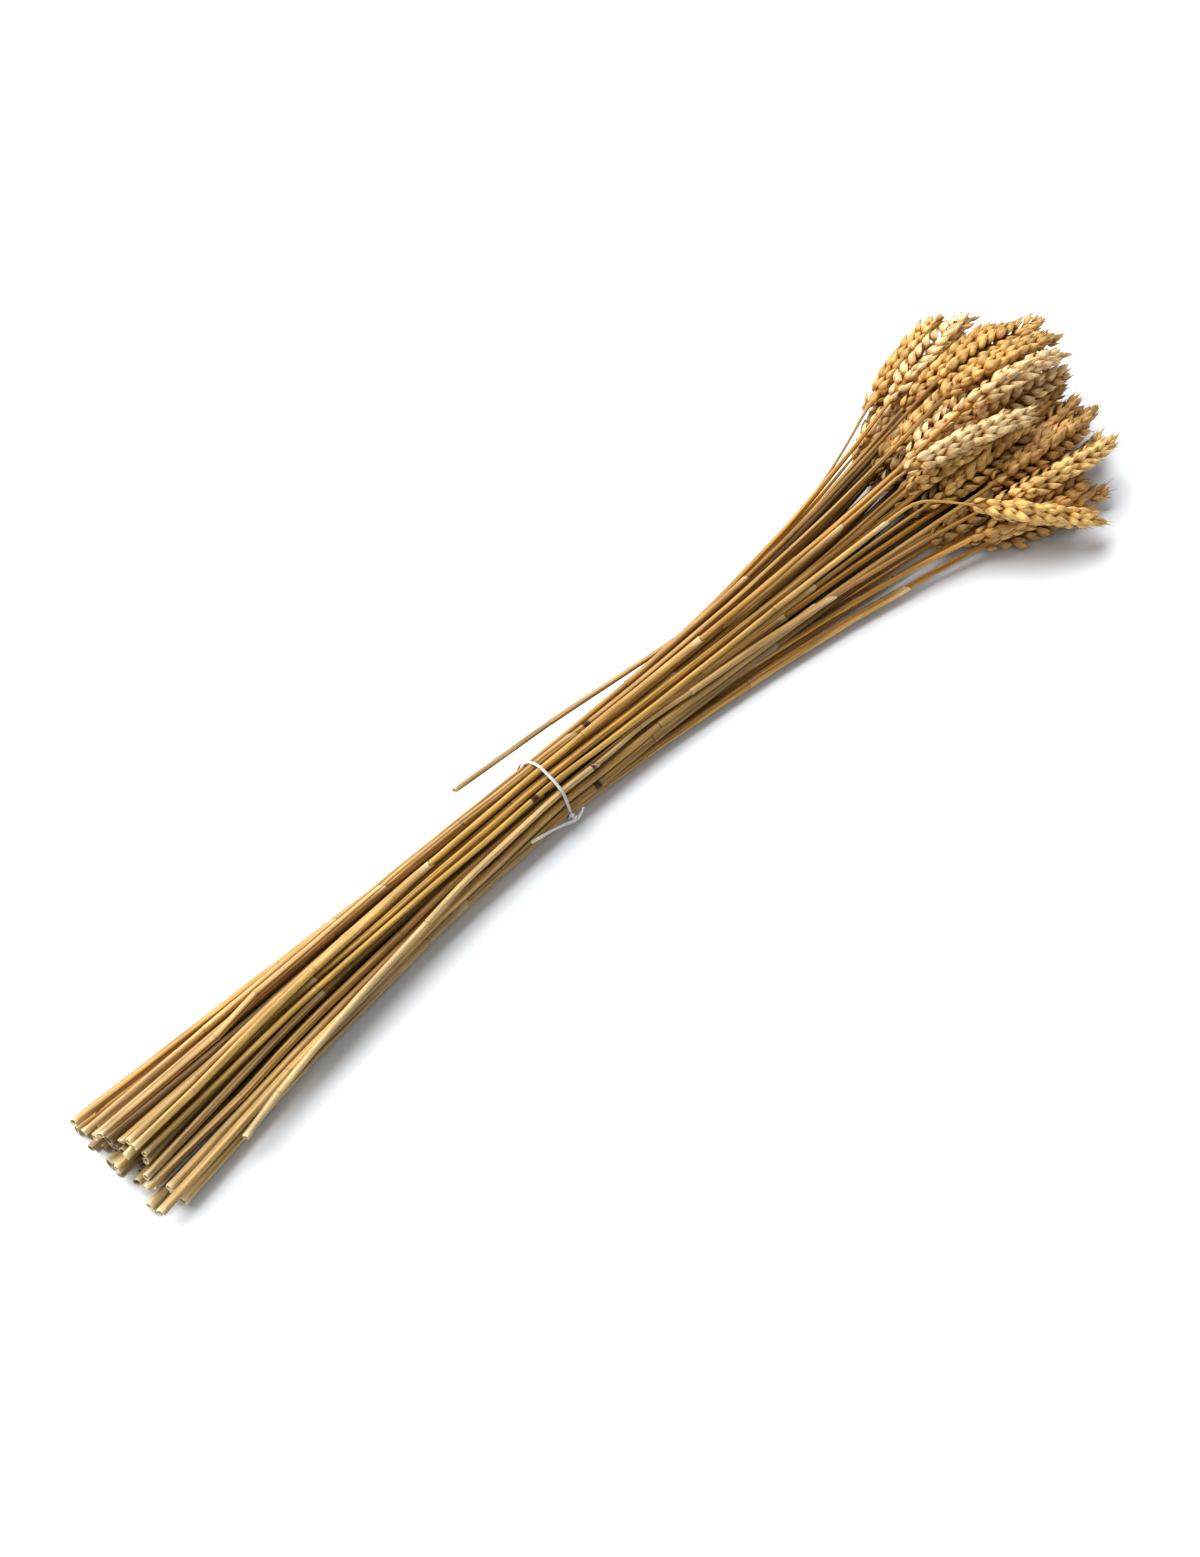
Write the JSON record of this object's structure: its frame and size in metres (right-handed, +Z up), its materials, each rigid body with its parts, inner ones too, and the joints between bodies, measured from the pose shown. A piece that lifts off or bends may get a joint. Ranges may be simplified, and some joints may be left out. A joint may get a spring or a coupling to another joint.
{
  "type": "bundle of dried wheat",
  "caption": "Tied bundle of dried wheat stalks with ripe ears, lying down, as cut and dried decoration.",
  "frame": {"origin": "middle of the bundle's underside, on the surface that it lies on", "axes": "+X runs along the stalks from their cut ends to the ears, +Z is up, +Y is across the bundle"},
  "size_m": [0.7312, 0.166, 0.0699],
  "materials": {
    "straw": "dry golden straw, satin on the stems and matt on the ears",
    "tie_paper": "white paper strip over a fine wire, smooth"
  },
  "bodies": {
    "root": {"stalk_01": "straw", "stalk_02": "straw", "stalk_03": "straw", "stalk_04": "straw", "stalk_05": "straw", "stalk_06": "straw", "stalk_07": "straw", "stalk_08": "straw", "stalk_09": "straw", "stalk_10": "straw", "stalk_11": "straw", "stalk_12": "straw", "stalk_13": "straw", "stalk_14": "straw", "stalk_15": "straw", "stalk_16": "straw", "stalk_17": "straw", "stalk_18": "straw", "stalk_19": "straw", "stalk_20": "straw", "stalk_21": "straw", "stalk_22": "straw", "stalk_23": "straw", "stalk_24": "straw", "stalk_25": "straw", "stalk_26": "straw", "stalk_27": "straw", "stalk_28": "straw", "stalk_29": "straw", "stalk_30": "straw", "stalk_31": "straw", "stalk_32": "straw", "stalk_33": "straw", "stalk_34": "straw", "stalk_35": "straw", "stalk_36": "straw", "stalk_37": "straw", "stalk_38": "straw", "stalk_39": "straw", "stalk_40": "straw", "stalk_41": "straw", "stalk_42": "straw", "stalk_43": "straw", "stalk_44": "straw", "stalk_45": "straw", "twist_tie": "tie_paper"}
  },
  "joints": []
}
